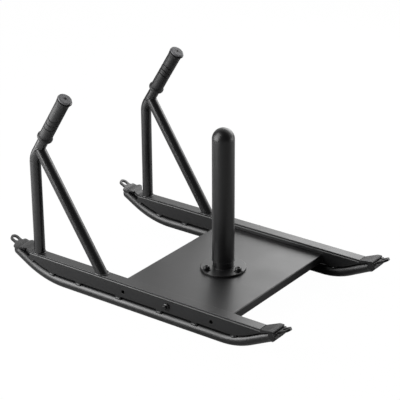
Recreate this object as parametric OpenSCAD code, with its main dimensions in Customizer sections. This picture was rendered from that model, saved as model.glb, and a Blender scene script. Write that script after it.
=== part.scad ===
// Weight sled: two swept runners, folded rails, a deck with a disc post, braced push handles and tow eyes.
// Millimetres, +Z up, +X is the way the sled is pushed. Left is +Y and right is -Y.
// The origin is on the ground, midway between the tips of the front and rear tow eyes.

/* [Runners] */
// Distance between the centre lines of the two runners
track_w = 396; // [330:1:480]
// Outer diameter of every round frame tube
tube_d = 25; // [22:0.5:28]
// Wall of every round frame tube
tube_wall = 2; // [1.5:0.1:3]
// Start of the rear bend, behind the post
rear_bend_x = 296; // [280:1:306]
// Centre line radius of the rear bend
rear_bend_r = 210; // [200:1:220]
// Rise of the rear end of the runner
rear_rise_a = 30; // [28:0.5:32]
// Level distance covered by the straight rear end
rear_run = 34; // [30:0.5:38]
// Start of the front bend, ahead of the post
front_bend_x = 140; // [130:1:150]
// Centre line radius of the front bend
front_bend_r = 158; // [145:1:165]
// Rise of the front end of the runner
front_rise_a = 26; // [24:0.5:28]
// Level distance covered by the straight front end
front_run = 57.2; // [52:0.2:62]

/* [Rails] */
// Open gap between the runner and the lower edge of the rail channel
rail_gap = 6.5; // [5:0.5:10]
// Height of the rail channel
channel_h = 32.5; // [30:0.5:38]
// Sheet thickness of the rail channel
channel_t = 3; // [2:0.1:4]
// Outside radius of the channel's folds
channel_bend_r = 3; // [2.5:0.1:4]
// Thickness of the flat strip on the channel
strip_t = 3.7; // [3:0.1:5]
// Radius on the long edges of the strip
strip_edge_r = 0.9; // [0.4:0.1:1.4]
// Rear end of the rail, behind the post
rail_rear_x = 389; // [387:1:392]
// Front end of the rail, ahead of the post
rail_front_x = 241; // [236:1:246]

/* [Spacers] */
// Length of a spacer tab between runner and rail
spacer_len = 15; // [10:1:20]
// Height of a spacer tab inside the channel
spacer_seat = 4.5; // [2:0.5:4.5]

/* [Tow ends] */
// Upward slope of the tow plates
tow_a = 26; // [24:1:28]
// Thickness of a tow plate
tow_t = 5; // [4:0.5:6]
// Width of a tow plate at its shoulders, and of the end noses
tow_w = 43; // [40:1:48]
// Corner radius of the shoulders
shoulder_r = 6; // [4:0.5:8]
// Width of the lug that holds the eye
lug_w = 21; // [20:0.5:26]
// Length of the lug from the shoulders to its tip
lug_len = 23.6; // [23:0.2:30]
// Width of the oblong eye
eye_w = 11; // [9:0.5:12]
// Length of the oblong eye
eye_len = 15; // [13:0.5:16]
// Metal left outside the eye
eye_rim = 5; // [4.6:0.1:7]
// Radius where the lug leaves the shoulders
lug_root_r = 3; // [2:0.5:4]
// Depth of the tow plate inside its nose
tow_seat = 11; // [10:0.5:12]
// Corner radius of the noses, seen from above
nose_r = 8; // [5:0.5:9]

/* [Deck] */
// Length of the deck between its folded lips
deck_len = 286.6; // [260:0.2:310]
// Drop from the rail top to the deck top
deck_drop = 14.2; // [11:0.2:17]
// Sheet thickness of the deck
deck_t = 2.5; // [2:0.1:3]
// Depth of the folded lips, from the deck top
lip_h = 19; // [16:0.5:22]
// Outside radius of the deck's folds
deck_bend_r = 3; // [2.6:0.1:3.4]
// Distance from the post to the side screws
side_screw_x = 118; // [90:1:125]
// Height of the side screws and through bolts below the rail top
side_screw_drop = 22.3; // [22:0.1:24]
// Nominal diameter of the side screws and through bolts
side_screw_d = 6; // [5:0.5:6]
// Width over flats of their nuts and of the through bolt's head
side_nut_w = 10; // [9:0.5:10.2]
// Diameter of the through bolt's flanged head
side_flange_d = 14; // [12:0.5:16]
// Diameter of the through bolt's washer
side_washer_d = 18; // [16:0.5:20]
// Diameter of the side screws' button heads
side_head_d = 10.5; // [9.5:0.5:12]
// Diameter of the holes in the outer panels that a key reaches them through
access_d = 9; // [7:0.5:12]

/* [Disc post] */
// Outer diameter of the sleeve that the discs slide on
sleeve_d = 50; // [49:0.1:50.4]
// Length of the sleeve below its cap
sleeve_len = 287.5; // [200:0.5:320]
// Outer diameter of the core tube
core_d = 42.4; // [40:0.1:43]
// Wall of the core tube
core_wall = 2.6; // [2:0.1:4]
// Radial gap between sleeve and core
sleeve_gap = 0.3; // [0.3:0.05:0.5]
// Distance from the sleeve's top edge down to the core's top
core_short = 17; // [14:0.5:30]
// Outer diameter of the collar under the sleeve
collar_d = 47.5; // [46:0.1:49]
// Height of the collar
collar_h = 15; // [8:0.5:30]
// Radial gap between collar and core
collar_gap = 0.1; // [0.05:0.05:0.3]
// Plain band at the foot of the domed cap
cap_band = 1.5; // [0.5:0.1:4]
// Depth of the cap's skirt inside the sleeve
cap_skirt = 12; // [6:0.5:13]
// Wall of the cap's skirt
cap_wall = 3; // [2:0.5:4]

/* [Post flange] */
// Diameter of the flange
flange_d = 103; // [100:0.5:120]
// Thickness of the flange
flange_t = 5; // [4:0.5:8]
// Diameter of the circle through the flange bolts
flange_pcd = 82; // [78:0.5:84]
// Number of flange bolts
flange_bolt_n = 3; // [3:1:4]
// Nominal diameter of the flange bolts
flange_bolt_d = 10; // [8:1:10]
// Width over flats of the flange bolt heads
flange_head_w = 15; // [14:0.5:16]

/* [Push handles] */
// Distance of the handle tubes behind the post
upright_x = 368; // [360:1:372]
// Height of the handle bend's corner above the ground
bend_z = 301; // [260:1:340]
// Centre line radius of the handle bend
bend_r = 45; // [35:1:60]
// Forward lean of the upper handle
lean_a = 31.8; // [28:0.2:36]
// Length of handle tube above the bend's corner
lean_len = 178; // [170:1:210]
// Distance of the brace foot behind the post
brace_foot_x = 187; // [170:1:210]
// Distance from the bend's corner up to the brace joint
brace_joint = 27; // [22:1:32]

/* [Grips] */
// Length of a grip
grip_len = 121; // [100:1:130]
// Diameter of the grip's middle
grip_d = 30.6; // [29:0.2:34]
// Diameter of the thumb collar
grip_collar_d = 36; // [33:0.5:40]
// Length of the thumb collar
grip_collar_len = 10; // [8:0.5:14]
// Diameter of the grip's upper end
grip_flare_d = 33; // [32:0.5:36]
// Length of the flare at the upper end
grip_flare_len = 14; // [8:1:20]
// Slanted grooves in the middle of the grip
grip_groove_n = 3; // [2:1:5]
// Distance between the slanted grooves
grip_groove_pitch = 13; // [8:1:16]
// Width of a slanted groove
grip_groove_w = 1.6; // [1:0.1:2.4]
// Depth of a slanted groove
grip_groove_depth = 0.8; // [0.4:0.1:1.2]
// Slant of the grooves
grip_groove_a = 32; // [20:1:40]
// Thickness of the end cap
cap_t = 4; // [3:0.5:6]
// Nominal diameter of the cap screw
cap_screw_d = 4; // [3:0.5:5]
// Length of the plug in the top of the handle tube
plug_len = 18; // [12:1:30]

/* [Hidden] */
$fn = 96;
// Largest turn between two points of a rounded corner
arc_step = 9;
// Play around a bolt shank in its hole
bolt_play = 0.25;
// Overshoot of a cutting shape past the face that it cuts
past = 1;
// Larger than any part of the sled
far = 2000;
// Rise and length of the hair-thin bands that join the lengths of a bent tube
band_rise = 0.05;
band_len = 1;
// Height of a nut as a share of its thread
nut_ratio = 0.8;
// Spacer tabs along the runner, ahead of the post, chosen to miss the deck bolts
spacer_places = [-394, -330, -250, -136, -23, 71, 176];

tube_r = tube_d / 2;
rail_w = tube_d;
channel_bottom = tube_d + rail_gap;
channel_top = channel_bottom + channel_h;
web_z = channel_top - channel_t;
rail_top = channel_top + strip_t;

// Centre line of the runner, as points in the plane of its side view
rear_arc_x = -rear_bend_x - rear_bend_r * sin(rear_rise_a);
rear_arc_z = tube_r + rear_bend_r * (1 - cos(rear_rise_a));
rear_end_x = rear_arc_x - rear_run;
rear_end_z = rear_arc_z + rear_run * tan(rear_rise_a);
front_arc_x = front_bend_x + front_bend_r * sin(front_rise_a);
front_arc_z = tube_r + front_bend_r * (1 - cos(front_rise_a));
front_end_x = front_arc_x + front_run;
front_end_z = front_arc_z + front_run * tan(front_rise_a);
// Half the height of the runner's sloping end, measured upright
slope_r = tube_r / cos(front_rise_a);
// Gap left where the channel and the nose come down on the rising runner
land_clearance = 0.5;
nose_clearance = 0.1;
// Gap between a lip of the front nose and the tow plate
lip_gap = 1.4;
// Distance from the rail's end to the tow plate's shoulder that the rear hood is drawn for
hood_len = 42.2;

// Shoulder points of the tow plates, on their middle plane
rear_shoulder = [rear_end_x + 3.8, rear_end_z + 15.2];
front_shoulder = [front_end_x + 20.6, front_end_z + 16.4];
hood_stretch = (-rail_rear_x - rear_shoulder[0]) / hood_len;
tow_reach = lug_len * cos(tow_a) + tow_t / 2 * sin(tow_a);
rear_tip_x = rear_shoulder[0] - tow_reach;
front_tip_x = front_shoulder[0] + tow_reach;
centre_shift = -(rear_tip_x + front_tip_x) / 2;

deck_top = rail_top - deck_drop;
deck_w = track_w - rail_w;
side_screw_z = rail_top - side_screw_drop;
side_wall_y = deck_w / 2;
screw_r = side_screw_d / 2;
side_nut_h = side_screw_d * nut_ratio;
side_flange_h = 1.5;
washer_t = 1.6;

flange_top = deck_top + flange_t;
collar_top = flange_top + collar_h;
sleeve_top = collar_top + sleeve_len;
sleeve_bore = core_d + 2 * sleeve_gap;
flange_bolt_r = flange_bolt_d / 2;
flange_head_h = flange_bolt_d * 0.64;
flange_nut_h = flange_bolt_d * nut_ratio;

grip_start = lean_len - grip_len;
groove_middle = grip_start + (grip_len + grip_collar_len - grip_flare_len) / 2;
cap_plug_len = 8;
cap_screw_r = cap_screw_d / 2;

frame_black = "#1d1d1f";
strip_black = "#2b2b2d";
rubber_black = "#141414";
cap_grey = "#3a3a3c";
bolt_grey = "#4a4a4d";

function unit(v) = v / norm(v);

// Points of the arc that rounds the corner b between its neighbours a and c
function corner_arc(a, b, c, r) =
    let (u = unit(a - b), v = unit(c - b), half = acos(u * v) / 2)
    let (centre = b + unit(u + v) * r / sin(half), reach = r / tan(half))
    let (p = b + u * reach - centre, q = b + v * reach - centre, turn = 180 - 2 * half)
    let (n = max(2, ceil(turn / arc_step)))
    [for (i = [0:n]) centre + (p * sin(turn * (1 - i / n)) + q * sin(turn * i / n)) / sin(turn)];

// An outline from rows of [x, y, corner radius]
function rounded(rows) =
    let (n = len(rows), at = [for (row = rows) [row[0], row[1]]])
    [for (i = [0:n - 1])
        each (rows[i][2] > 0
            ? corner_arc(at[(i + n - 1) % n], at[i], at[(i + 1) % n], rows[i][2])
            : [at[i]])];

// Moves a piece from the post's axis to the sled's origin
module place() {
    translate([centre_shift, 0, 0]) children();
}

// Draws a right-hand piece on its runner, or its mirror image on the left
module on_side(name) {
    if (name == "left") {
        mirror([0, 1, 0]) on_side("right") children();
    } else {
        place() translate([0, -track_w / 2, 0]) children();
    }
}

// Side view outline, given a width across the sled
module side_slab(width) {
    translate([0, width / 2, 0]) rotate([90, 0, 0]) linear_extrude(width) children();
}

// Outline across the sled, drawn out along X between two places
module long_slab(x0, x1) {
    translate([x0, 0, 0]) rotate([90, 0, 90]) linear_extrude(x1 - x0) children();
}

// A bend of a tube in the side view, from one angle round its centre to another
module tube_bend(centre, path_r, from_a, to_a, d) {
    translate([centre[0], 0, centre[1]])
        rotate([90, 0, 0])
            rotate([0, 0, from_a])
                rotate_extrude(angle = to_a - from_a) translate([path_r, 0]) circle(d = d);
}

// Sets a piece that is drawn along +Z at a point of the side view, along a slope
module along(p, slope) {
    translate([p[0], 0, p[1]]) rotate([0, 90 - slope, 0]) children();
}

// A round bar between two points of the side view
module bar(p, q, d) {
    run = q - p;
    along(p, atan2(run[1], run[0])) cylinder(d = d, h = norm(run));
}

// Joins two lengths of a bent tube at a point, where the tube runs along a slope
module tube_joint(p, slope, d) {
    along(p, slope) translate([0, 0, -band_len / 2]) cylinder(d = d + 2 * band_rise, h = band_len);
}

// The path of the runner as a solid of diameter d, cut off upright at x0 and x1
module runner_path(d, x0, x1) {
    tube_bend([-rear_bend_x, tube_r + rear_bend_r], rear_bend_r, -90 - rear_rise_a, -90, d);
    bar([-rear_bend_x, tube_r], [front_bend_x, tube_r], d);
    tube_bend([front_bend_x, tube_r + front_bend_r], front_bend_r, -90, -90 + front_rise_a, d);
    intersection() {
        union() {
            along([rear_arc_x, rear_arc_z], 180 - rear_rise_a) cylinder(d = d, h = rear_run / cos(rear_rise_a) + tube_d);
            along([front_arc_x, front_arc_z], front_rise_a) cylinder(d = d, h = front_run / cos(front_rise_a) + tube_d);
        }
        translate([x0, -far / 2, -far / 2]) cube([x1 - x0, far, far]);
    }
    tube_joint([rear_arc_x, rear_arc_z], -rear_rise_a, d);
    tube_joint([-rear_bend_x, tube_r], 0, d);
    tube_joint([front_bend_x, tube_r], 0, d);
    tube_joint([front_arc_x, front_arc_z], front_rise_a, d);
}

// Height of the runner's centre line along its level length and the bends beside it
function runner_z(x) =
    x < -rear_bend_x ? tube_r + rear_bend_r - sqrt(pow(rear_bend_r, 2) - pow(x + rear_bend_x, 2))
    : x > front_bend_x ? tube_r + front_bend_r - sqrt(pow(front_bend_r, 2) - pow(x - front_bend_x, 2))
    : tube_r;

// Height of the upper side of the runner's straight front end
function front_top_z(x) = front_end_z + slope_r + (x - front_end_x) * tan(front_rise_a);

// Slope of the runner along its level length and the bends beside it
function runner_slope(x) =
    x < -rear_bend_x ? -asin((-rear_bend_x - x) / rear_bend_r)
    : x > front_bend_x ? asin((x - front_bend_x) / front_bend_r)
    : 0;

// The rear end is closed, and trimmed where the tow plate lies on it
module runner() {
    color(frame_black)
        difference() {
            runner_path(tube_d, rear_end_x, front_end_x);
            runner_path(tube_d - 2 * tube_wall, rear_end_x + tube_wall, front_end_x + past);
            tow_pocket("rear");
        }
}

// Points of an arc in the side view that leaves the lower edge of the channel at x and turns upwards
function rising_arc(x, r, turn) =
    let (n = ceil(abs(turn) / 3))
    [for (i = [0:n]) [x, channel_bottom + r] + r * [sin(turn * i / n), -cos(turn * i / n)]];

// Side view of the rail channel: its lower edge keeps clear of the runner and comes down on it at the front
module channel_outline() {
    rear_r = rear_bend_r - tube_r - rail_gap;
    front_r = front_bend_r - tube_r - rail_gap;
    corner_x = front_end_x - (front_end_z + slope_r + land_clearance - channel_bottom) / tan(front_rise_a);
    rear_turn = asin((rail_rear_x - rear_bend_x) / rear_r);
    rear_arc = rising_arc(-rear_bend_x, rear_r, -rear_turn);
    front_arc = rising_arc(corner_x - front_r * tan(front_rise_a / 2), front_r, front_rise_a);
    polygon(concat(
        [for (i = [len(rear_arc) - 1:-1:0]) rear_arc[i]],
        front_arc,
        [
            [rail_front_x, front_top_z(rail_front_x) + land_clearance],
            [rail_front_x, channel_top],
            [-rail_rear_x, channel_top]
        ]
    ));
}

// Section of the channel's outside, with the folds rounded
module channel_section() {
    w = rail_w / 2;
    polygon(rounded([
        [-w, 0, 0],
        [-w, channel_top, channel_bend_r],
        [w, channel_top, channel_bend_r],
        [w, 0, 0]
    ]));
}

// A hole across the rail from y0 to y1, measured from the rail's centre
module cross_hole(x, y0, y1, r) {
    translate([x, y0, side_screw_z]) rotate([-90, 0, 0]) cylinder(r = r, h = y1 - y0);
}

module rail_channel() {
    inside = rail_w / 2 - channel_t;
    color(frame_black)
        difference() {
            intersection() {
                side_slab(rail_w) channel_outline();
                long_slab(-rail_rear_x - past, rail_front_x + past) channel_section();
            }
            translate([-far / 2, -inside, -past]) cube([far, 2 * inside, web_z + past]);
            for (x = [-side_screw_x, side_screw_x]) {
                cross_hole(x, -rail_w, 0, access_d / 2);
                cross_hole(x, 0, rail_w, screw_r + bolt_play);
            }
            cross_hole(0, -rail_w, rail_w, screw_r + bolt_play);
        }
}

module top_strip() {
    w = rail_w / 2;
    color(strip_black)
        long_slab(-rail_rear_x, rail_front_x)
            polygon(rounded([
                [-w, channel_top, strip_edge_r],
                [-w, rail_top, strip_edge_r],
                [w, rail_top, strip_edge_r],
                [w, channel_top, strip_edge_r]
            ]));
}

// Tabs that stand on the runner and reach up between the walls of the channel, saddled on the tube
module spacers() {
    w = rail_w - 2 * channel_t;
    reach = tube_r + rail_gap + spacer_seat;
    color(frame_black)
        difference() {
            for (x = spacer_places) {
                along([x, runner_z(x)], runner_slope(x))
                    translate([-reach, -w / 2, -spacer_len / 2]) cube([reach, w, spacer_len]);
            }
            runner_path(tube_d, rear_end_x, front_end_x);
        }
}

// Plan of a tow plate: +X points out of the sled, X = 0 is the line of the shoulders
module tow_plan() {
    lug_r = lug_w / 2;
    eye_far = lug_len - eye_rim - eye_w / 2;
    eye_near = eye_far - (eye_len - eye_w);
    difference() {
        union() {
            translate([-tow_seat, -tow_w / 2]) square([tow_seat - shoulder_r, tow_w]);
            translate([-tow_seat, -tow_w / 2 + shoulder_r]) square([tow_seat, tow_w - 2 * shoulder_r]);
            intersection() {
                for (s = [-1, 1]) translate([-shoulder_r, s * (tow_w / 2 - shoulder_r)]) circle(r = shoulder_r);
                translate([-shoulder_r, -tow_w / 2]) square([shoulder_r, tow_w]);
            }
            translate([-past, -lug_r]) square([lug_len - lug_r + past, lug_w]);
            translate([lug_len - lug_r, 0]) circle(r = lug_r);
            for (s = [-1, 1]) scale([1, s]) lug_root();
        }
        round_slot(eye_near, eye_far, eye_w);
    }
}

// Concave radius where the lug leaves the shoulder
module lug_root() {
    difference() {
        translate([-past, lug_w / 2 - past]) square([lug_root_r + past, lug_root_r + past]);
        translate([lug_root_r, lug_w / 2 + lug_root_r]) circle(r = lug_root_r);
    }
}

// A slot with round ends centred at x0 and x1
module round_slot(x0, x1, w) {
    translate([x0, -w / 2]) square([x1 - x0, w]);
    for (x = [x0, x1]) translate([x, 0]) circle(d = w);
}

// Sets a piece that is drawn flat at a tow plate's shoulder, front or rear
module at_tow(end) {
    if (end == "front") {
        translate([front_shoulder[0], 0, front_shoulder[1]]) rotate([0, -tow_a, 0]) children();
    } else {
        translate([rear_shoulder[0], 0, rear_shoulder[1]]) mirror([1, 0, 0]) rotate([0, -tow_a, 0]) children();
    }
}

module tow_plate(end) {
    color(frame_black)
        at_tow(end) translate([0, 0, -tow_t / 2]) linear_extrude(tow_t) tow_plan();
}

// The pocket that a nose has for its tow plate
module tow_pocket(end) {
    at_tow(end) translate([-tow_seat, -tow_w / 2 - past, -tow_t / 2]) cube([2 * tow_seat, tow_w + 2 * past, tow_t]);
}

// Rectangle with four round corners, from x0 to x1
module rounded_plan(x0, x1, w, r) {
    translate([x0 + r, -w / 2]) square([x1 - x0 - 2 * r, w]);
    translate([x0, -w / 2 + r]) square([x1 - x0, w - 2 * r]);
    for (x = [x0 + r, x1 - r], y = [-w / 2 + r, w / 2 - r]) translate([x, y]) circle(r = r);
}

// A point of the side view, given inwards from the front shoulder along the tow plate, and up from its middle plane
function on_front_plate(u, w) = front_shoulder - u * [cos(tow_a), sin(tow_a)] + w * [-sin(tow_a), cos(tow_a)];

// Front nose: a widening hood from the end of the rail, and a chin below it, that hold the tow plate between two lips
module front_nose() {
    s = front_shoulder;
    e = [front_end_x, front_end_z];
    w = tow_w / 2;
    lip = tow_t / 2 + lip_gap;
    color(frame_black)
        difference() {
            intersection() {
                side_slab(tow_w)
                    polygon(rounded([
                        [rail_front_x, front_top_z(rail_front_x) + nose_clearance, 0],
                        [rail_front_x, rail_top - 0.8, 0],
                        [s[0] - 19, s[1] + 2.6, 8],
                        [s[0] - 9, s[1] + 3.6, 4],
                        concat(on_front_plate(5.6, lip), 1),
                        concat(on_front_plate(8.5, lip), 0),
                        concat(on_front_plate(8.5, -lip), 0),
                        concat(on_front_plate(6, -lip), 1),
                        [s[0] - 1.5, s[1] - 12, 3],
                        [s[0] - 9, s[1] - 21, 8],
                        [e[0], e[1] - slope_r - nose_clearance, 0],
                        [e[0], e[1] + slope_r + nose_clearance, 0]
                    ]));
                linear_extrude(far)
                    polygon(rounded([
                        [rail_front_x, -rail_w / 2, 0],
                        [e[0] + 2, -w, 6],
                        [s[0] - 1, -w, 4],
                        [s[0] - 1, w, 4],
                        [e[0] + 2, w, 6],
                        [rail_front_x, rail_w / 2, 0]
                    ]));
                long_slab(rail_front_x - past, s[0])
                    polygon(rounded([
                        [-w, rail_top + tow_w, 0],
                        [-w, e[1] + 0.6, 3],
                        [-tube_r + 1.5, e[1] - tube_r + 2.5, 5],
                        [-tube_r / 3, e[1] - slope_r, 3],
                        [tube_r / 3, e[1] - slope_r, 3],
                        [tube_r - 1.5, e[1] - tube_r + 2.5, 5],
                        [w, e[1] + 0.6, 3],
                        [w, rail_top + tow_w, 0]
                    ]));
            }
            tow_pocket("front");
        }
}

// A point of the side view, given inwards from the rear shoulder along the tow plate, and up from its middle plane
function on_rear_plate(u, w) = rear_shoulder + u * [cos(tow_a), -sin(tow_a)] + w * [sin(tow_a), cos(tow_a)];

// X of a point of the rear hood, given behind the rail's end on a hood of the drawn length
function hood_x(u) = -rail_rear_x - u * hood_stretch;

// Rear nose: a folded hood that bridges from the end of the rail to the tow plate, open at its sides
module rear_nose() {
    s = rear_shoulder;
    color(frame_black)
        difference() {
            intersection() {
                side_slab(tow_w)
                    polygon(rounded([
                        [-rail_rear_x, web_z, 0],
                        [-rail_rear_x, rail_top, 0],
                        [hood_x(7), rail_top + 3.8, 6 * hood_stretch],
                        [hood_x(13.5), s[1] + 1.7, 5 * hood_stretch],
                        [hood_x(20.7), s[1] + 2.7, 6 * hood_stretch],
                        concat(on_rear_plate(11, tow_t / 2 + 1.6), 1),
                        concat(on_rear_plate(6, tow_t / 2), 0),
                        concat(on_rear_plate(6, 0), 0),
                        concat(on_rear_plate(tow_seat, -tow_t / 2), 0),
                        concat(on_rear_plate(tow_seat + 3.5, -tow_t / 2), 0.5),
                        [hood_x(19.2), s[1] - 1.2, 5 * hood_stretch],
                        [hood_x(14.5), s[1] - 2.2, 5 * hood_stretch],
                        [hood_x(8.5), web_z + 6, 4 * hood_stretch]
                    ]));
                linear_extrude(far) {
                    rounded_plan(s[0] - tow_w, -rail_rear_x - 10, tow_w, nose_r);
                    translate([-rail_rear_x - tow_w / 2, -rail_w / 2]) square([tow_w / 2, rail_w]);
                }
            }
            tow_pocket("rear");
        }
}

// Axes of the leaning part of the handle, with +Z along the tube from the bend's corner
module on_lean() {
    translate([-upright_x, 0, bend_z]) rotate([0, lean_a, 0]) children();
}

// The path of the handle as a solid of diameter d
module handle_path(d) {
    tangent = bend_r * tan(lean_a / 2);
    low = [-upright_x, bend_z - tangent];
    high = [-upright_x, bend_z] + tangent * [sin(lean_a), cos(lean_a)];
    bar([-upright_x, rail_top], low, d);
    tube_bend([-upright_x + bend_r, bend_z - tangent], bend_r, 180 - lean_a, 180, d);
    on_lean() translate([0, 0, tangent]) cylinder(d = d, h = lean_len - tangent);
    tube_joint(low, 90, d);
    tube_joint(high, 90 - lean_a, d);
}

module handle_tube() {
    color(frame_black)
        difference() {
            handle_path(tube_d);
            handle_path(tube_d - 2 * tube_wall);
        }
}

// Brace from the rail up to the handle, coped to the tube that it meets
module brace() {
    foot = [-brace_foot_x, rail_top];
    joint = [-upright_x + brace_joint * sin(lean_a), bend_z + brace_joint * cos(lean_a)];
    below = foot - unit(joint - foot) * tube_d;
    color(frame_black)
        difference() {
            bar(below, joint, tube_d);
            bar(below, joint, tube_d - 2 * tube_wall);
            translate([-far / 2, -far / 2, -far + rail_top]) cube([far, far, far]);
            on_lean() cylinder(d = tube_d, h = lean_len);
        }
}

module grip() {
    bore = tube_r;
    collar = grip_collar_d / 2;
    body = grip_d / 2;
    flare = grip_flare_d / 2;
    color(rubber_black)
        on_lean()
            difference() {
                rotate_extrude()
                    polygon(rounded([
                        [bore, grip_start, 0],
                        [collar - 1.5, grip_start, 1.5],
                        [collar, grip_start + 3, 2],
                        [collar, grip_start + grip_collar_len - 3, 2],
                        [body, grip_start + grip_collar_len, 1.5],
                        [body, lean_len - grip_flare_len, 10],
                        [flare, lean_len - 2, 1.5],
                        [flare - 0.6, lean_len, 0],
                        [bore, lean_len, 0]
                    ]));
                for (i = [0:grip_groove_n - 1]) {
                    translate([0, 0, groove_middle + (i - (grip_groove_n - 1) / 2) * grip_groove_pitch])
                        rotate([grip_groove_a, 0, 0])
                            slant_groove(body - grip_groove_depth);
                }
            }
}

// A flat ring that cuts one groove into a grip, down to radius r at its shallowest
module slant_groove(r) {
    translate([0, 0, -grip_groove_w / 2])
        difference() {
            cylinder(r = grip_collar_d, h = grip_groove_w);
            translate([0, 0, -past]) cylinder(r = r, h = grip_groove_w + 2 * past);
        }
}

module grip_cap() {
    rim = grip_flare_d / 2 - 0.4;
    color(cap_grey)
        on_lean()
            translate([0, 0, lean_len])
                difference() {
                    union() {
                        rotate_extrude()
                            polygon(rounded([
                                [0, 0, 0],
                                [rim, 0, 0],
                                [rim, cap_t - 1, 1.6],
                                [rim - 3, cap_t, 1],
                                [0, cap_t, 0]
                            ]));
                        translate([0, 0, -cap_plug_len]) cylinder(r = tube_r - tube_wall, h = cap_plug_len);
                    }
                    translate([0, 0, -cap_plug_len - past])
                        cylinder(r = cap_screw_r, h = far / 2);
                    translate([0, 0, cap_t - cap_screw_r]) cylinder(r = 2 * cap_screw_r, h = far / 2);
                }
}

module cap_screw() {
    head_h = cap_screw_r * 0.8;
    top = lean_len + cap_t - cap_screw_r;
    color(bolt_grey)
        on_lean()
            difference() {
                union() {
                    translate([0, 0, lean_len - cap_plug_len - plug_len / 2])
                        cylinder(r = cap_screw_r, h = top - lean_len + cap_plug_len + plug_len / 2);
                    translate([0, 0, top]) cylinder(r = 2 * cap_screw_r - 0.3, h = head_h);
                }
                translate([0, 0, top]) cylinder(r = cap_screw_r, h = head_h + past, $fn = 6);
            }
}

// Plug inside the handle tube that the cap screw bites into
module handle_plug() {
    bottom = lean_len - cap_plug_len - plug_len;
    color(rubber_black)
        on_lean()
            translate([0, 0, bottom])
                difference() {
                    cylinder(r = tube_r - tube_wall, h = plug_len);
                    translate([0, 0, plug_len / 2]) cylinder(r = cap_screw_r, h = plug_len);
                }
}

module hex_prism(width, h) {
    cylinder(d = width / cos(30), h = h, $fn = 6);
}

// Hex head with its upper corners turned off
module hex_head(width, h) {
    intersection() {
        hex_prism(width, h);
        rotate_extrude()
            polygon([[0, 0], [width, 0], [width / 2 + h - 0.6, 0.6], [width / 2 - 0.6, h], [0, h]]);
    }
}

// Points an object that is drawn along +Z from the outside of the rail towards the deck
module inward(x, y) {
    translate([x, y, side_screw_z]) rotate([-90, 0, 0]) children();
}

// Flanged bolt with a washer, through the rail and the deck's side lip
module through_bolt() {
    outer = -rail_w / 2;
    seat = outer - washer_t;
    nut_y = rail_w / 2 + deck_t;
    color(bolt_grey)
        union() {
            inward(0, seat) cylinder(r = screw_r, h = nut_y - seat + side_nut_h + screw_r);
            inward(0, seat) cylinder(d = side_washer_d, h = washer_t);
            inward(0, seat) mirror([0, 0, 1]) {
                cylinder(d1 = side_flange_d, d2 = side_nut_w, h = side_flange_h);
                translate([0, 0, side_flange_h]) hex_head(side_nut_w, side_nut_h);
            }
        }
}

module side_nut(x) {
    inward(x, rail_w / 2 + deck_t)
        difference() {
            hex_prism(side_nut_w, side_nut_h);
            translate([0, 0, -past]) cylinder(r = screw_r, h = side_nut_h + 2 * past);
        }
}

module through_nut() {
    color(bolt_grey) side_nut(0);
}

// Button head screws inside the rail, into the deck's side lip
module side_screws() {
    seat = rail_w / 2 - channel_t;
    head_h = side_screw_d * 0.55;
    color(bolt_grey)
        for (x = [-side_screw_x, side_screw_x]) {
            inward(x, seat) cylinder(r = screw_r, h = channel_t + deck_t + side_nut_h + screw_r);
            inward(x, seat)
                mirror([0, 0, 1])
                    difference() {
                        rotate_extrude()
                            polygon(rounded([
                                [0, 0, 0],
                                [side_head_d / 2, 0, 0],
                                [side_head_d / 2, head_h, head_h * 0.8],
                                [0, head_h, 0]
                            ]));
                        translate([0, 0, head_h / 3]) hex_prism(side_screw_d * 0.66, head_h);
                    }
        }
}

module side_nuts() {
    color(bolt_grey)
        for (x = [-side_screw_x, side_screw_x]) side_nut(x);
}

// Tray shape with its top and upright edges rounded, shrunk inwards by inset
module tray(inset) {
    x = deck_len / 2 - inset;
    y = deck_w / 2 - inset;
    r = max(deck_bend_r - inset, 0.5);
    top = deck_top - inset;
    low = deck_top - lip_h - (inset > 0 ? past : 0);
    intersection() {
        side_slab(deck_w) polygon(rounded([[-x, low, 0], [-x, top, r], [x, top, r], [x, low, 0]]));
        long_slab(-deck_len, deck_len) polygon(rounded([[-y, low, 0], [-y, top, r], [y, top, r], [y, low, 0]]));
    }
}

module deck() {
    color(frame_black)
        place()
            difference() {
                tray(0);
                tray(deck_t);
                for (x = [-side_screw_x, 0, side_screw_x]) {
                    translate([x, -track_w, side_screw_z])
                        rotate([-90, 0, 0]) cylinder(r = screw_r + bolt_play, h = 2 * track_w);
                }
                flange_holes(deck_top - deck_t);
            }
}

// Runs its children at each flange bolt
module at_flange_bolts() {
    for (i = [0:flange_bolt_n - 1]) {
        rotate([0, 0, i * 360 / flange_bolt_n]) translate([flange_pcd / 2, 0, 0]) children();
    }
}

module flange_holes(from_z) {
    at_flange_bolts() translate([0, 0, from_z - past]) cylinder(r = flange_bolt_r + bolt_play, h = far / 2);
}

module post_flange() {
    r = flange_d / 2;
    color(frame_black)
        place()
            difference() {
                rotate_extrude()
                    polygon(rounded([
                        [0, deck_top, 0],
                        [r, deck_top, 0.5],
                        [r, flange_top, 1.2],
                        [0, flange_top, 0]
                    ]));
                flange_holes(deck_top);
            }
}

module post_core() {
    h = sleeve_top - core_short - flange_top;
    color(frame_black)
        place()
            translate([0, 0, flange_top])
                rotate_extrude()
                    polygon(rounded([
                        [core_d / 2 - core_wall, 0, 0],
                        [core_d / 2, 0, 0],
                        [core_d / 2, h, 1.5],
                        [core_d / 2 - core_wall, h, 0.5]
                    ]));
}

module post_collar() {
    inner = core_d / 2 + collar_gap;
    color(frame_black)
        place()
            rotate_extrude()
                polygon(rounded([
                    [inner, flange_top, 0],
                    [collar_d / 2, flange_top, 0],
                    [collar_d / 2, collar_top, 0.6],
                    [inner, collar_top, 0]
                ]));
}

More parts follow.
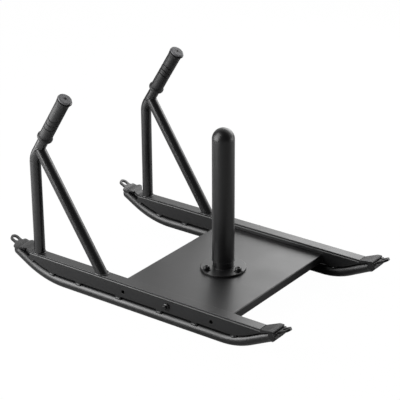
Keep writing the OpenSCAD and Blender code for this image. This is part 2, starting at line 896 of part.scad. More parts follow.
module disc_sleeve() {
    color(frame_black)
        place()
            rotate_extrude()
                polygon(rounded([
                    [sleeve_bore / 2, collar_top, 0],
                    [sleeve_d / 2, collar_top, 0.8],
                    [sleeve_d / 2, sleeve_top, 0.5],
                    [sleeve_bore / 2, sleeve_top, 0]
                ]));
}

// Domed plug that closes the sleeve's top
module sleeve_cap() {
    skirt = sleeve_bore / 2;
    dome_r = sleeve_d / 2;
    color(frame_black)
        place()
            translate([0, 0, sleeve_top])
                difference() {
                    union() {
                        cylinder(r = dome_r, h = cap_band);
                        translate([0, 0, cap_band])
                            intersection() {
                                sphere(r = dome_r);
                                cylinder(r = sleeve_d, h = sleeve_d);
                            }
                        translate([0, 0, -cap_skirt]) cylinder(r = skirt, h = cap_skirt);
                    }
                    translate([0, 0, -cap_skirt - past]) cylinder(r = skirt - cap_wall, h = cap_skirt + past);
                }
}

module flange_bolts() {
    seat = flange_top + washer_t;
    tail = deck_top - deck_t - flange_nut_h - 2;
    color(bolt_grey)
        place()
            at_flange_bolts() {
                translate([0, 0, tail]) cylinder(r = flange_bolt_r, h = seat - tail);
                translate([0, 0, seat]) hex_head(flange_head_w, flange_head_h);
            }
}

module flange_washers() {
    color(bolt_grey)
        place()
            at_flange_bolts()
                translate([0, 0, flange_top])
                    difference() {
                        cylinder(r = flange_bolt_d, h = washer_t);
                        translate([0, 0, -past]) cylinder(r = flange_bolt_r + bolt_play / 2, h = washer_t + 2 * past);
                    }
}

module flange_nuts() {
    color(bolt_grey)
        place()
            at_flange_bolts()
                translate([0, 0, deck_top - deck_t - flange_nut_h])
                    difference() {
                        hex_prism(flange_head_w, flange_nut_h);
                        translate([0, 0, -past]) cylinder(r = flange_bolt_r, h = flange_nut_h + 2 * past);
                    }
}

on_side("right") runner();  // right_runner
on_side("left") runner();  // left_runner
on_side("right") rail_channel();  // right_rail_channel
on_side("left") rail_channel();  // left_rail_channel
on_side("right") top_strip();  // right_top_strip
on_side("left") top_strip();  // left_top_strip
on_side("right") spacers();  // right_spacers
on_side("left") spacers();  // left_spacers
on_side("right") rear_nose();  // right_rear_nose
on_side("left") rear_nose();  // left_rear_nose
on_side("right") front_nose();  // right_front_nose
on_side("left") front_nose();  // left_front_nose
on_side("right") tow_plate("rear");  // right_rear_tow_plate
on_side("left") tow_plate("rear");  // left_rear_tow_plate
on_side("right") tow_plate("front");  // right_front_tow_plate
on_side("left") tow_plate("front");  // left_front_tow_plate
on_side("right") handle_tube();  // right_handle_tube
on_side("left") handle_tube();  // left_handle_tube
on_side("right") brace();  // right_brace
on_side("left") brace();  // left_brace
on_side("right") grip();  // right_grip
on_side("left") grip();  // left_grip
on_side("right") grip_cap();  // right_grip_cap
on_side("left") grip_cap();  // left_grip_cap
on_side("right") cap_screw();  // right_cap_screw
on_side("left") cap_screw();  // left_cap_screw
on_side("right") handle_plug();  // right_handle_plug
on_side("left") handle_plug();  // left_handle_plug
on_side("right") through_bolt();  // right_through_bolt
on_side("left") through_bolt();  // left_through_bolt
on_side("right") through_nut();  // right_through_nut
on_side("left") through_nut();  // left_through_nut
on_side("right") side_screws();  // right_side_screws
on_side("left") side_screws();  // left_side_screws
on_side("right") side_nuts();  // right_side_nuts
on_side("left") side_nuts();  // left_side_nuts
deck();
post_flange();
post_core();
post_collar();
disc_sleeve();
sleeve_cap();
flange_bolts();
flange_washers();
flange_nuts();
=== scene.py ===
# %% [markdown]
# # A weight sled, dressed from its CAD frame
#
# A weight sled is a low steel sledge that an athlete pushes or drags. Two runner tubes slide on the
# ground, a folded rail stands on each runner, a steel deck joins the rails, and a post in the middle
# takes the weight discs. Every piece was already modelled at its real size, so this lesson only gives
# each surface its finish, adds the weld beads and the small details, and lights the whole.

import math

import bmesh
import bpy
from mathutils import Matrix, Vector


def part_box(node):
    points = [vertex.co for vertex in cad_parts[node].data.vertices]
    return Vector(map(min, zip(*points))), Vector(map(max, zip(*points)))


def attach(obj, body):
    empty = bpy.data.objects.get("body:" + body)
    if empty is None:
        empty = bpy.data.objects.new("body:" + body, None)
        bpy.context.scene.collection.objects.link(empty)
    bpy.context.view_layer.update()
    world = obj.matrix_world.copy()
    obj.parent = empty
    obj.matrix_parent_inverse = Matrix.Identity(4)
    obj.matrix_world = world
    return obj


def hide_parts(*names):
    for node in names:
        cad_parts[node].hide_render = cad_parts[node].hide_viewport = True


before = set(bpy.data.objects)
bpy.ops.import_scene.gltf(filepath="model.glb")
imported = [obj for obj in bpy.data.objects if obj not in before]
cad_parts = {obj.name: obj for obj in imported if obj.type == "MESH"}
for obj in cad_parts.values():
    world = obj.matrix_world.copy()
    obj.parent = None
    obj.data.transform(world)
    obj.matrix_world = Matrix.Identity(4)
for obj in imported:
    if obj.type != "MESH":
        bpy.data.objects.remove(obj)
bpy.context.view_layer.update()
print("pieces in the frame:", len(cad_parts))

# %% [markdown]
# ## Sizes that the frame gives
#
# The rest of the script asks the frame where things are, so that a longer deck or a wider sled needs no
# new numbers here. The script works in metres, and `MM` turns millimetres into them. Two places that
# differ by less than `NEAR` count as the same one, and points closer than `JOIN` are merged.

# %% Measure the frame
MM = 0.001
NEAR = 0.05 * MM
JOIN = 0.01 * MM
SIDES = {"right": -1, "left": 1}


def middle(node):
    low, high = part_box(node)
    return (low + high) / 2


def top_of(node):
    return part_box(node)[1].z


def ends(points, axis):
    places = [getattr(point, axis) for point in points]
    return min(places), max(places)


post_place = middle("disc_sleeve")
strip_top = top_of("right_top_strip")
tube_low, tube_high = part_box("right_handle_tube")
tube_radius = (tube_high.y - tube_low.y) / 2
upright_x = tube_low.x + tube_radius
print("tube diameter in mm:", round(2 * tube_radius / MM, 1))

# %% [markdown]
# ## A helper for colours and a few for nodes
#
# Colours are picked as sRGB hex values, as in any paint program, but a shader works in linear
# light, so one function translates. A second function adds a node, sets it up and wires it, which keeps
# each material down to the few lines that say what it looks like. A socket is called by its name, or by
# `n` and its number where several sockets share a name. Most coats vary between two values by a noise, so
# a third function spreads the middle of a noise over such a range.

# %% Colour and node helpers
def linear(hex_colour):
    channels = [int(hex_colour[i : i + 2], 16) / 255 for i in (1, 3, 5)]
    return tuple(c / 12.92 if c <= 0.04045 else ((c + 0.055) / 1.055) ** 2.4 for c in channels) + (1.0,)


def add(tree, kind, settings=None, **inputs):
    node = tree.nodes.new(kind)
    for name, value in (settings or {}).items():
        setattr(node, name, value)
    for name, value in inputs.items():
        numbered = name[0] == "n" and name[1:].isdigit()
        socket = node.inputs[int(name[1:]) if numbered else name.replace("_", " ")]
        if isinstance(value, bpy.types.NodeSocket):
            tree.links.new(value, socket)
        else:
            socket.default_value = value
    return node


def spread(tree, value, low, high, value_from=0.3, value_to=0.7):
    node = add(tree, "ShaderNodeMapRange", Value=value, n1=value_from, n2=value_to, n3=low, n4=high)
    return node.outputs["Result"]


def new_material(name):
    material = bpy.data.materials.new(name)
    material.use_nodes = True
    material.node_tree.nodes.clear()
    return material, material.node_tree


def finish_with(tree, shader):
    add(tree, "ShaderNodeOutputMaterial", Surface=shader.outputs[0])


# %% [markdown]
# ## Satin black powder coat
#
# The frame is welded mild steel, shot blasted and sprayed with a dry polyester powder that melts in an
# oven. The melt draws out into a satin skin with a very fine orange peel, so the highlights are wide and
# soft, and a fold in the sheet catches a thin line of light. The peel on a real sled is under a
# millimetre wide. It is drawn a little coarser here so that it shows in a picture of this size. The
# picture shows one coat with several sheens: the rails, the deck and the runners are satin, the sleeve
# is a touch smoother, the front noses are dull, and the bent handles and their braces are the glossiest.
# The weld beads are a shade paler, so that they stand out from the tubes. The paler colour is a painted
# highlight that stands in for the light their round faces catch.

# %% Powder coat
PEEL_SIZE = 2.0 * MM
PEEL_DEPTH = 0.2 * MM
CLOUD_SIZE = 90 * MM
SHEEN_SWING = 0.03
EDGE_RADIUS = 0.5 * MM
EDGE_SAMPLES = 4


def powder_coat(name, colour, roughness, peel=0.02, ior=1.55):
    material, tree = new_material(name)
    place = add(tree, "ShaderNodeTexCoord").outputs["Object"]
    peel_noise = add(tree, "ShaderNodeTexNoise", Vector=place, Scale=1 / PEEL_SIZE, Detail=2.0)
    cloud = add(tree, "ShaderNodeTexNoise", Vector=place, Scale=1 / CLOUD_SIZE, Detail=3.0)
    shine = spread(tree, cloud.outputs["Fac"], roughness - SHEEN_SWING, roughness + SHEEN_SWING)
    soft_edge = add(tree, "ShaderNodeBevel", {"samples": EDGE_SAMPLES}, Radius=EDGE_RADIUS)
    bump = add(
        tree, "ShaderNodeBump", Height=peel_noise.outputs["Fac"], Strength=peel,
        Distance=PEEL_DEPTH, Normal=soft_edge.outputs["Normal"],
    )
    shader = add(
        tree, "ShaderNodeBsdfPrincipled", Base_Color=linear(colour), Roughness=shine,
        IOR=ior, Normal=bump.outputs["Normal"],
    )
    finish_with(tree, shader)
    return material


frame_coat = powder_coat("satin_powder_coat", "#0e0e0f", 0.38)
sleeve_coat = powder_coat("sleeve_powder_coat", "#0f0f10", 0.36)
nose_coat = powder_coat("scuffed_powder_coat", "#121213", 0.52, ior=1.42)
tube_coat = powder_coat("handle_powder_coat", "#0b0b0c", 0.28, ior=1.67)
# paler than the frame: a painted highlight on the weld beads
weld_highlight_coat = powder_coat("powder_coat_on_weld_painted_highlight", "#262627", 0.32)

# %% [markdown]
# ## Black oxide fasteners
#
# The bolts and nuts are steel that was dipped in a hot oxide bath. The bath leaves a black skin so thin
# that the metal under it still gives a tight, dark gloss.

# %% Black oxide
OXIDE_GRAIN = 2.5 * MM
OXIDE_SWING = 0.06


def black_oxide(name, colour, roughness):
    material, tree = new_material(name)
    place = add(tree, "ShaderNodeTexCoord").outputs["Object"]
    grain = add(tree, "ShaderNodeTexNoise", Vector=place, Scale=1 / OXIDE_GRAIN, Detail=4.0)
    shine = spread(tree, grain.outputs["Fac"], roughness - OXIDE_SWING, roughness + OXIDE_SWING)
    soft_edge = add(tree, "ShaderNodeBevel", {"samples": EDGE_SAMPLES}, Radius=EDGE_RADIUS)
    shader = add(
        tree, "ShaderNodeBsdfPrincipled", Base_Color=linear(colour), Roughness=shine,
        Metallic=0.1, IOR=1.5, Normal=soft_edge.outputs["Normal"],
    )
    finish_with(tree, shader)
    return material


bolt_finish = black_oxide("black_oxide_steel", "#0d0d0e", 0.32)

# %% [markdown]
# ## Moulded rubber and plastic
#
# The grips are moulded rubber with a fine pebble that the hands feel, and it kills nearly every
# highlight. The cap on the end of a grip is a hard plastic moulding with a matt face, so it looks a shade
# lighter than the rubber round it.
#
# The slanted grooves of a grip show nearly black, and that black is painted shade. An ambient occlusion
# node tells how much open air a point of the surface sees, and where that is little, the colour is darkened
# as painted shade and the last gloss goes with it. The same painted shade darkens the hollows of every
# moulded part.

# %% Rubber and plastic
PEBBLE_SIZE = 1.8 * MM
PEBBLE_DEPTH = 0.3 * MM
GRAIN_SIZE = 1.2 * MM
GRAINS_PER_CLOUD = 12
TONE_SWING = 0.14
MOULD_EDGE_RADIUS = 0.6 * MM
GROOVE_REACH = 3.5 * MM
GROOVE_AIR = (0.75, 0.98)
GROOVE_PAINTED_SHADE = 0.1
AIR_SAMPLES = 8


def moulded(name, colour, roughness, grain_size, bump_strength, ior=1.5):
    material, tree = new_material(name)
    place = add(tree, "ShaderNodeTexCoord").outputs["Object"]
    cloud_size = GRAINS_PER_CLOUD * grain_size
    pebble = add(tree, "ShaderNodeTexVoronoi", Vector=place, Scale=1 / grain_size)
    tone = add(tree, "ShaderNodeTexNoise", Vector=place, Scale=1 / cloud_size, Detail=3.0)
    shade = spread(tree, tone.outputs["Fac"], 1 - TONE_SWING, 1 + TONE_SWING)
    open_air = add(
        tree, "ShaderNodeAmbientOcclusion", {"samples": AIR_SAMPLES}, Distance=GROOVE_REACH
    ).outputs["AO"]
    # painted shade: the colour is made darker where the surface sees little open air
    painted_groove_shade = spread(tree, open_air, GROOVE_PAINTED_SHADE, 1.0, *GROOVE_AIR)
    dull = spread(tree, open_air, 1.0, roughness, *GROOVE_AIR)
    both = add(tree, "ShaderNodeMath", {"operation": "MULTIPLY"}, n0=shade, n1=painted_groove_shade)
    dark = add(
        tree, "ShaderNodeVectorMath", {"operation": "SCALE"}, n0=linear(colour)[:3], Scale=both.outputs[0]
    )
    soft_edge = add(tree, "ShaderNodeBevel", {"samples": EDGE_SAMPLES}, Radius=MOULD_EDGE_RADIUS)
    bump = add(
        tree, "ShaderNodeBump", Height=pebble.outputs["Distance"], Strength=bump_strength,
        Distance=PEBBLE_DEPTH, Normal=soft_edge.outputs["Normal"],
    )
    shader = add(
        tree, "ShaderNodeBsdfPrincipled", Base_Color=dark.outputs["Vector"], Roughness=dull,
        IOR=ior, Normal=bump.outputs["Normal"],
    )
    finish_with(tree, shader)
    return material


grip_rubber = moulded("moulded_grip_rubber", "#111112", 0.5, PEBBLE_SIZE, 0.05)
cap_plastic = moulded("moulded_cap_plastic", "#646466", 0.6, GRAIN_SIZE, 0.02)
plug_plastic = moulded("moulded_plug_plastic", "#0c0c0c", 0.6, GRAIN_SIZE, 0.05)
# matt black plastic put where there is only shade: painted shade in the access holes and round the grip
# caps
shade_black_plastic = moulded("moulded_black_painted_shade", "#040404", 0.85, GRAIN_SIZE, 0.05, ior=1.3)

# %% [markdown]
# ## Each CAD piece gets its finish
#
# The name of a piece says what it is, so a short list of words picks the finish, and the first word that
# fits counts. Everything that no word picks gets the satin coat of the frame.

# %% Give each piece its finish
FINISH_WORDS = [
    ("cap_screw", bolt_finish), ("bolt", bolt_finish), ("nut", bolt_finish), ("screws", bolt_finish),
    ("washers", bolt_finish), ("handle_plug", plug_plastic), ("grip_cap", cap_plastic),
    ("grip", grip_rubber), ("sleeve", sleeve_coat), ("front_nose", nose_coat),
    ("handle_tube", tube_coat), ("brace", tube_coat), ("", frame_coat),
]


def finish_for(name):
    return next(material for word, material in FINISH_WORDS if word in name)


for name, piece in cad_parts.items():
    piece.data.materials.clear()
    piece.data.materials.append(finish_for(name))
print("finishes given to", len(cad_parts), "pieces")

# %% [markdown]
# ## Weld beads
#
# A frame like this is MIG welded, and a bead runs round every tube where it meets a plate. A bead is a
# small roll of metal with a ripple for each step of the torch. Here one small circle is spun about the
# axis of the tube, which is the quickest way to any ring, and then every second section is pulled in a
# little for the ripple.

# %% A ring of weld
BEAD_RADIUS = 2.2 * MM
BEAD_SEGMENTS = 8
RIPPLE_PITCH = 2.6 * MM
RIPPLE_DEPTH = 0.2


def spin_round(bm, steps):
    bmesh.ops.spin(
        bm, geom=bm.verts[:] + bm.edges[:], cent=(0, 0, 0), axis=(0, 0, 1), angle=2 * math.pi,
        steps=steps, use_merge=True,
    )


def plain_ring(ring_radius, bead_radius, steps):
    bm = bmesh.new()
    section = Matrix.Translation((ring_radius, 0, 0)) @ Matrix.Rotation(math.pi / 2, 4, "X")
    bmesh.ops.create_circle(bm, segments=BEAD_SEGMENTS, radius=bead_radius, matrix=section)
    spin_round(bm, steps)
    bmesh.ops.recalc_face_normals(bm, faces=bm.faces)
    return bm


def ring_bead(ring_radius, bead_radius=BEAD_RADIUS):
    steps = 2 * round(math.pi * ring_radius / RIPPLE_PITCH)
    bm = plain_ring(ring_radius, bead_radius, steps)
    for vert in bm.verts:
        turn = math.atan2(vert.co.y, vert.co.x) * steps / (2 * math.pi)
        if round(turn) % 2:
            centre = Vector((vert.co.x, vert.co.y, 0)).normalized() * ring_radius
            vert.co = centre + (vert.co - centre) * (1 - RIPPLE_DEPTH)
    return bm


def make_piece(name, bm, material, body, smooth=True):
    mesh = bpy.data.meshes.new(name)
    bm.to_mesh(mesh)
    bm.free()
    for face in mesh.polygons:
        face.use_smooth = smooth
    mesh.materials.append(material)
    piece = bpy.data.objects.new(name, mesh)
    bpy.context.scene.collection.objects.link(piece)
    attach(piece, body)
    return piece


# %% [markdown]
# The upright stands square on the rail, so its bead is a circle. The brace leans, and its ring is
# stretched along the sled by one over the sine of its slope, as any slanted cut through a tube is. The
# slope itself is read from the cut foot of the brace, which is longer than the tube is wide by that much.

# %% Beads at the feet of the handle
SEAM = 0.3 * BEAD_RADIUS


def foot_of(node):
    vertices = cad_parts[node].data.vertices
    return ends([vert.co for vert in vertices if abs(vert.co.z - strip_top) < NEAR], "x")


foot_low, foot_high = foot_of("right_brace")
brace_foot_x = (foot_low + foot_high) / 2
brace_slope = math.asin(2 * tube_radius / (foot_high - foot_low))
print("brace slope in degrees:", round(math.degrees(brace_slope), 1))

for side in SIDES:
    tube_y = middle(f"{side}_handle_tube").y
    bead = ring_bead(tube_radius + SEAM)
    bmesh.ops.translate(bead, verts=bead.verts, vec=(upright_x, tube_y, strip_top))
    make_piece(f"{side}_upright_weld", bead, weld_highlight_coat, "frame")
    bead = ring_bead(tube_radius + SEAM)
    bmesh.ops.scale(bead, verts=bead.verts, vec=(1 / math.sin(brace_slope), 1, 1))
    bmesh.ops.translate(bead, verts=bead.verts, vec=(brace_foot_x, tube_y, strip_top))
    make_piece(f"{side}_brace_foot_weld", bead, weld_highlight_coat, "frame")

# %% [markdown]
# The top of the brace is coped, which means cut to fit round the handle like a saddle. The seam is no
# longer a flat ring. One way is to work out where two cylinders cross, but the cut edge is already there
# in the CAD piece. So the ring is drawn flat, and each of its points is then slid along the brace until
# it lies on that edge.

# %% Beads round the coped ends of the braces
brace_axis = Vector((-math.cos(brace_slope), 0, math.sin(brace_slope)))
brace_back = Vector((math.sin(brace_slope), 0, math.cos(brace_slope)))


def turn_and_reach(point, foot):
    arm = point - foot
    reach = arm.dot(brace_axis)
    across = arm - reach * brace_axis
    return math.atan2(across.y, across.dot(brace_back)), reach, across.length


def saddle_edge(node, foot):
    edge = []
    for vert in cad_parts[node].data.vertices:
        turn, reach, width = turn_and_reach(vert.co, foot)
        if abs(width - tube_radius) < NEAR and reach > 4 * tube_radius:
            edge.append((turn, reach))
    edge.sort()
    before = (edge[-1][0] - 2 * math.pi, edge[-1][1])
    after = (edge[0][0] + 2 * math.pi, edge[0][1])
    return [before, *edge, after]


def reach_at(edge, turn):
    for (turn_a, reach_a), (turn_b, reach_b) in zip(edge, edge[1:]):
        if turn_a <= turn <= turn_b:
            share = (turn - turn_a) / max(turn_b - turn_a, 1e-9)
            return reach_a + share * (reach_b - reach_a)
    return edge[-1][1]


for side in SIDES:
    foot = Vector((brace_foot_x, middle(f"{side}_handle_tube").y, strip_top))
    edge = saddle_edge(f"{side}_brace", foot)
    bead = ring_bead(tube_radius + SEAM)
    for vert in bead.verts:
        turn = math.atan2(vert.co.y, vert.co.x)
        reach = reach_at(edge, turn) + vert.co.z
        vert.co = foot + brace_back * vert.co.x + Vector((0, vert.co.y, 0)) + brace_axis * reach
    bmesh.ops.recalc_face_normals(bead, faces=bead.faces)
    make_piece(f"{side}_brace_top_weld", bead, weld_highlight_coat, "frame")

# %% [markdown]
# The foot of the post is welded to its flange all round. At the top of the collar the sleeve starts, and
# its lower rim is turned to a small round lip, which draws a thin light line. The lip has no ripple, so
# it is the plain ring.

# %% The collar weld and the lip of the sleeve
COLLAR_BEAD = 1.4 * MM
LIP_RADIUS = 0.7 * MM
LIP_STEPS = 96

collar_low, collar_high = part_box("post_collar")
collar_radius = (collar_high.x - collar_low.x) / 2
bead = ring_bead(collar_radius, bead_radius=COLLAR_BEAD)
bmesh.ops.translate(bead, verts=bead.verts, vec=(post_place.x, post_place.y, collar_low.z))
make_piece("collar_weld", bead, nose_coat, "frame")

sleeve_low, sleeve_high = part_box("disc_sleeve")
sleeve_radius = (sleeve_high.x - sleeve_low.x) / 2
lip_z = sleeve_low.z + 1.5 * LIP_RADIUS
lip = plain_ring(sleeve_radius, LIP_RADIUS, LIP_STEPS)
bmesh.ops.translate(lip, verts=lip.verts, vec=(post_place.x, post_place.y, lip_z))
make_piece("sleeve_lip", lip, nose_coat, "sleeve")

# %% [markdown]
# The runner tube hangs on small spacer tabs, and a short seam covers the face of each tab between the
# rail and the tube. A short seam looks like a grain of rice, so a stretched ball does. The tabs of a side
# share one CAD piece, and a walk over its joined points finds them one by one. The two lower corners of
# the face are its lowest points on each side, with a small bias that prefers the outer one.

# %% Short seams on the spacer tabs
TAB_BEAD_DEPTH = 1.6 * MM
TAB_BEAD_HEIGHT = 2.6 * MM
CORNER_BIAS = 0.2


def solids_of(node):
    bm = bmesh.new()
    bm.from_mesh(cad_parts[node].data)
    bmesh.ops.remove_doubles(bm, verts=bm.verts, dist=JOIN)
    waiting = set(bm.verts)
    solids = []
    while waiting:
        walk = [waiting.pop()]
        points = []
        while walk:
            vert = walk.pop()
            points.append(vert.co.copy())
            near = [edge.other_vert(vert) for edge in vert.link_edges]
            walk += [other for other in near if other in waiting]
            waiting -= set(near)
        solids.append(points)
    bm.free()
    return sorted(solids, key=lambda points: (ends(points, "x")[0], ends(points, "y")[0]))


def lowest_edge(points, face_y):
    face = [p for p in points if abs(p.y - face_y) < 2 * NEAR]
    half = sum(ends(face, "x")) / 2
    left = min((p for p in face if p.x < half), key=lambda p: p.z + CORNER_BIAS * p.x)
    right = min((p for p in face if p.x >= half), key=lambda p: p.z - CORNER_BIAS * p.x)
    return left, right


for side in SIDES:
    seams = bmesh.new()
    for points in solids_of(f"{side}_spacers"):
        for face_y in ends(points, "y"):
            left, right = lowest_edge(points, face_y)
            run = right - left
            turn = Matrix.Rotation(-math.atan2(run.z, run.x), 4, "Y")
            size = Matrix.Diagonal((run.length / 2, TAB_BEAD_DEPTH, TAB_BEAD_HEIGHT, 1))
            centre = (left + right) / 2 + turn @ Vector((0, 0, TAB_BEAD_HEIGHT))
            place = Matrix.Translation(centre) @ turn @ size
            bmesh.ops.create_uvsphere(seams, u_segments=10, v_segments=8, radius=1.0, matrix=place)
    make_piece(f"{side}_spacer_welds", seams, weld_highlight_coat, "frame")

# %% [markdown]
# ## Button head bolts
#
# The flange is held by three bolts with low domed heads and a hexagon socket. The CAD piece has plain
# heads of the same width. A lathe profile is spun for the dome and the socket, and the ring of the
# socket is then pulled out to a hexagon, which needs no boolean.

# %% Button heads on the flange
LATHE_STEPS = 36
SOCKET_WIDTH = 6.5 * MM
SOCKET_DEPTH = 3.0 * MM
SOCKET_CHAMFER = 0.2 * MM
CROWN_SHARE = 1.3
DOME_SHARE = 0.8
DOME_STEP = 15
SHANK_RADIUS = 5.0 * MM


def lathe(points):
    bm = bmesh.new()
    verts = [bm.verts.new((radius, 0, height)) for radius, height in points]
    for pair in zip(verts, verts[1:]):
        bm.edges.new(pair)
    spin_round(bm, LATHE_STEPS)
    bmesh.ops.remove_doubles(bm, verts=bm.verts, dist=JOIN)
    bmesh.ops.recalc_face_normals(bm, faces=bm.faces)
    return bm


def pour_into(whole, part):
    mesh = bpy.data.meshes.new("one_part")
    part.to_mesh(mesh)
    part.free()
    whole.from_mesh(mesh)
    bpy.data.meshes.remove(mesh)


def button_bolt(head_radius, head_height, shank_radius, shank_length):
    socket = SOCKET_WIDTH / 2
    crown = socket * CROWN_SHARE
    floor_z = head_height - SOCKET_DEPTH
    dome = []
    for angle in range(0, 91, DOME_STEP):
        rise = 1 - DOME_SHARE + DOME_SHARE * math.cos(math.radians(angle))
        out = math.sin(math.radians(angle))
        dome.append((crown + (head_radius - crown) * out, head_height * rise))
    bm = lathe([
        (0, floor_z), (socket, floor_z), (socket, head_height - SOCKET_CHAMFER), *dome,
        (head_radius, 0), (shank_radius, 0), (shank_radius, -shank_length), (0, -shank_length),
    ])
    for vert in bm.verts:
        radius = math.hypot(vert.co.x, vert.co.y)
        if abs(radius - socket) < JOIN:
            off_flat = (math.atan2(vert.co.y, vert.co.x) + 2 * math.pi) % (math.pi / 3) - math.pi / 6
            vert.co.xy *= 1 / math.cos(off_flat)
    return bm


bolts = bmesh.new()
seat = top_of("flange_washers")
for points in solids_of("flange_bolts"):
    low, high = ends(points, "z")
    near_y, far_y = ends(points, "y")
    bolt = button_bolt((far_y - near_y) / 2, high - seat, SHANK_RADIUS, seat - low)
    bolt_place = (sum(ends(points, "x")) / 2, (near_y + far_y) / 2, seat)
    bmesh.ops.translate(bolt, verts=bolt.verts, vec=bolt_place)
    pour_into(bolts, bolt)
heads = make_piece("flange_button_bolts", bolts, bolt_finish, "frame", smooth=False)
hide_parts("flange_bolts")

# %% [markdown]
# ## Painted shade round the grip cap
#
# The rubber of a grip is pulled over the end of the tube and meets the hard cap in a narrow gap, which lies
# in shade and shows as a black line. A thin ring of matt black plastic is set there as painted shade. The
# axis of the grip runs from the middle of the plug inside the tube to the middle of the cap. A small ring
# is turned to that axis and set under the widest part of the cap.

# %% Painted shade rings round the caps
GRIP_SHADE_RING_RADIUS = 0.8 * MM
GRIP_SHADE_RING_SUNK = 0.3 * GRIP_SHADE_RING_RADIUS
CAP_RIM = 0.5 * MM

for side in SIDES:
    cap_middle = middle(f"{side}_grip_cap")
    plug_middle = middle(f"{side}_handle_plug")
    lean = (cap_middle - plug_middle).normalized()
    points = [vert.co - cap_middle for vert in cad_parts[f"{side}_grip_cap"].data.vertices]
    wide = max((p - p.dot(lean) * lean).length for p in points)
    under = min(p.dot(lean) for p in points if (p - p.dot(lean) * lean).length > wide - CAP_RIM)
    lip = ring_bead(wide - GRIP_SHADE_RING_SUNK, bead_radius=GRIP_SHADE_RING_RADIUS)
    turn = lean.to_track_quat("Z", "Y").to_matrix().to_4x4()
    bmesh.ops.transform(lip, matrix=Matrix.Translation(cap_middle + under * lean) @ turn, verts=lip.verts)
    # a black ring as painted shade in the gap round the cap
    make_piece(f"{side}_grip_cap_shade_ring", lip, shade_black_plastic, "frame")

# %% [markdown]
# ## Painted shade in the access holes
#
# The outer wall of each rail has two round holes, through which a driver reaches the screws of the deck.
# They lie in shade inside and look quite black, so each gets a small cup of matt black plastic, sunk a
# little below the face of the wall. The cup is painted shade, a dark thing put where there is only the
# shade of the hole. A cup looks blacker than a flat disc does, because light that goes in is lost.

# %% Painted shade cups in the holes
SHADE_CUP_RADIUS = 4.4 * MM
SHADE_CUP_SUNK = 1.0 * MM
SHADE_CUP_WALL = 0.5 * MM
SHADE_CUP_LENGTH = 7.0 * MM

for side, sign in SIDES.items():
    outer_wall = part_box(f"{side}_rail_channel")[1 if sign > 0 else 0].y
    plugs = bmesh.new()
    for points in solids_of(f"{side}_side_screws"):
        plug = lathe([
            (0, SHADE_CUP_WALL - SHADE_CUP_LENGTH), (SHADE_CUP_RADIUS - SHADE_CUP_WALL, SHADE_CUP_WALL - SHADE_CUP_LENGTH),
            (SHADE_CUP_RADIUS - SHADE_CUP_WALL, 0), (SHADE_CUP_RADIUS, 0), (SHADE_CUP_RADIUS, -SHADE_CUP_LENGTH), (0, -SHADE_CUP_LENGTH),
        ])
        centre_x = sum(ends(points, "x")) / 2
        centre_z = sum(ends(points, "z")) / 2
        turn = Matrix.Rotation(-sign * math.pi / 2, 4, "X")
        place = Matrix.Translation((centre_x, outer_wall - sign * SHADE_CUP_SUNK, centre_z)) @ turn
        bmesh.ops.transform(plug, matrix=place, verts=plug.verts)
        pour_into(plugs, plug)
    # dark cups as painted shade inside the holes
    make_piece(f"{side}_hole_shade_cups", plugs, shade_black_plastic, "frame", smooth=False)

# %% [markdown]
# ## The studio
#
# Black satin paint shows little colour of its own. What the eye reads as its shape are the reflections,
# so a black object is lit with large pale surfaces in a dark room. Here the sweep beyond the sled is
# bright and draws the pale tops, and the room behind the camera is dark and keeps the sides black. The
# camera itself sees plain white everywhere, while the sled is lit by a greyer floor, the sweep and the
# room.

# %% The floor
FLOOR_SIZE = 60.0
FLOOR_GLOW = 1.02
FLOOR_GLOW_SHARE = 0.97
bm = bmesh.new()
bmesh.ops.create_grid(bm, x_segments=2, y_segments=2, size=FLOOR_SIZE / 2)
floor_mesh = bpy.data.meshes.new("floor")
bm.to_mesh(floor_mesh)
bm.free()
floor = bpy.data.objects.new("floor", floor_mesh)
bpy.context.scene.collection.objects.link(floor)
floor_paint, tree = new_material("white_sweep_paint")
shader = add(tree, "ShaderNodeBsdfDiffuse", Color=linear("#acacac"))
glow = add(tree, "ShaderNodeEmission", Color=linear("#ffffff"), Strength=FLOOR_GLOW)
path = add(tree, "ShaderNodeLightPath")
seen = add(
    tree, "ShaderNodeMath", {"operation": "MULTIPLY"}, n0=path.outputs["Is Camera Ray"], n1=FLOOR_GLOW_SHARE
)
mixed = add(tree, "ShaderNodeMixShader", n0=seen.outputs[0], n1=shader.outputs[0], n2=glow.outputs[0])
finish_with(tree, mixed)
floor_mesh.materials.append(floor_paint)

# %% The bright sweep and the dark room
SWEEP_DIRECTION = Vector((-0.15, 0.98, 0.12)).normalized()
SWEEP_LIGHT = 1.2
SWEEP_EDGE = (0.1, 0.95)
ROOM_LIGHT = 0.08

world = bpy.data.worlds.new("white_studio")
bpy.context.scene.world = world
world.use_nodes = True
tree = world.node_tree
tree.nodes.clear()
ray = add(tree, "ShaderNodeTexCoord").outputs["Generated"]
towards = add(tree, "ShaderNodeVectorMath", {"operation": "DOT_PRODUCT"}, n0=ray, n1=tuple(SWEEP_DIRECTION))
strength = add(
    tree, "ShaderNodeMapRange", {"interpolation_type": "SMOOTHSTEP"}, Value=towards.outputs["Value"],
    n1=SWEEP_EDGE[0], n2=SWEEP_EDGE[1], n3=ROOM_LIGHT, n4=SWEEP_LIGHT,
)
studio = add(tree, "ShaderNodeBackground", Color=linear("#ffffff"), Strength=strength.outputs["Result"])
backdrop = add(tree, "ShaderNodeBackground", Color=linear("#ffffff"), Strength=1.0)
path = add(tree, "ShaderNodeLightPath")
mixed = add(
    tree, "ShaderNodeMixShader", n0=path.outputs["Is Camera Ray"], n1=studio.outputs[0],
    n2=backdrop.outputs[0],
)
add(tree, "ShaderNodeOutputWorld", Surface=mixed.outputs[0])

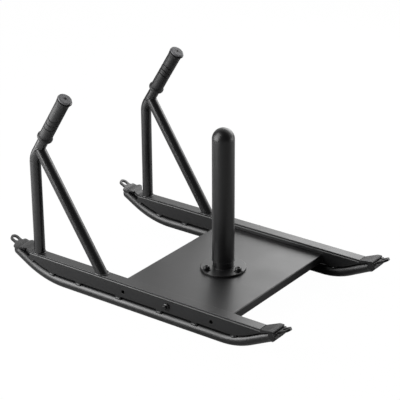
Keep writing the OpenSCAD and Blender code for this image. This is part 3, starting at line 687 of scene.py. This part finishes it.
# %% [markdown]
# Four soft boxes do the rest. The key stands high on the left and lights the faces that look that way.
# A small one stands low and close on the same side. It draws the light band along the post and the near
# handle, and because it is so close, the far handle gets less of it. One behind the sled lights the
# tops, and one stands low on the right for the pale edge of each tube. Each line gives a name, a place,
# the point that the box faces, its width and height, and its radiance, which is how bright it looks,
# whatever its size.

# %% Soft boxes
def soft_box(name, place, target, width, height, radiance):
    place, target = Vector(place), Vector(target)
    data = bpy.data.lights.new(name, "AREA")
    data.shape = "RECTANGLE"
    data.size, data.size_y = width, height
    data.energy = radiance * math.pi * width * height
    lamp = bpy.data.objects.new(name, data)
    lamp.location = place
    lamp.rotation_euler = (target - place).to_track_quat("-Z", "Y").to_euler()
    lamp.visible_camera = False
    bpy.context.scene.collection.objects.link(lamp)


soft_box("key_soft_box", (-1.9, -2.3, 2.4), (0, 0, 0.1), 3.2, 2.6, 3.7)
soft_box("low_left_soft_box", (-0.8, -0.85, 0.42), (-0.15, -0.25, 0.15), 1.3, 0.6, 6.1)
soft_box("sweep_soft_box", (-0.1, 1.6, 0.9), (0.1, 0.5, 0.1), 1.6, 1.2, 3.1)
soft_box("right_soft_box", (1.3, 1.2, 0.25), (0.1, 0.0, 0.15), 1.2, 0.5, 3.0)

# %% [markdown]
# ## The camera
#
# The photograph was taken with a long lens from above the front right corner. The values below were found
# by matching the corners of the rails, the post and the handles with their places in the picture.

# %% Camera
CAMERA_PLACE = Vector((1.8511, -2.5027, 1.5682))
CAMERA_AZIMUTH = 36.36
CAMERA_PITCH = 23.72
CAMERA_ROLL = 0.35
CAMERA_LENS = 137.9
SENSOR_WIDTH = 36.0

camera_data = bpy.data.cameras.new("camera")
camera_data.lens = CAMERA_LENS
camera_data.sensor_width = SENSOR_WIDTH
camera = bpy.data.objects.new("camera", camera_data)
camera.location = CAMERA_PLACE
camera.rotation_euler = (
    Matrix.Rotation(math.radians(CAMERA_AZIMUTH), 3, "Z")
    @ Matrix.Rotation(math.radians(90 - CAMERA_PITCH), 3, "X")
    @ Matrix.Rotation(-math.radians(CAMERA_ROLL), 3, "Z")
).to_euler()
bpy.context.scene.collection.objects.link(camera)
bpy.context.scene.camera = camera
bpy.context.scene.view_settings.view_transform = "Standard"
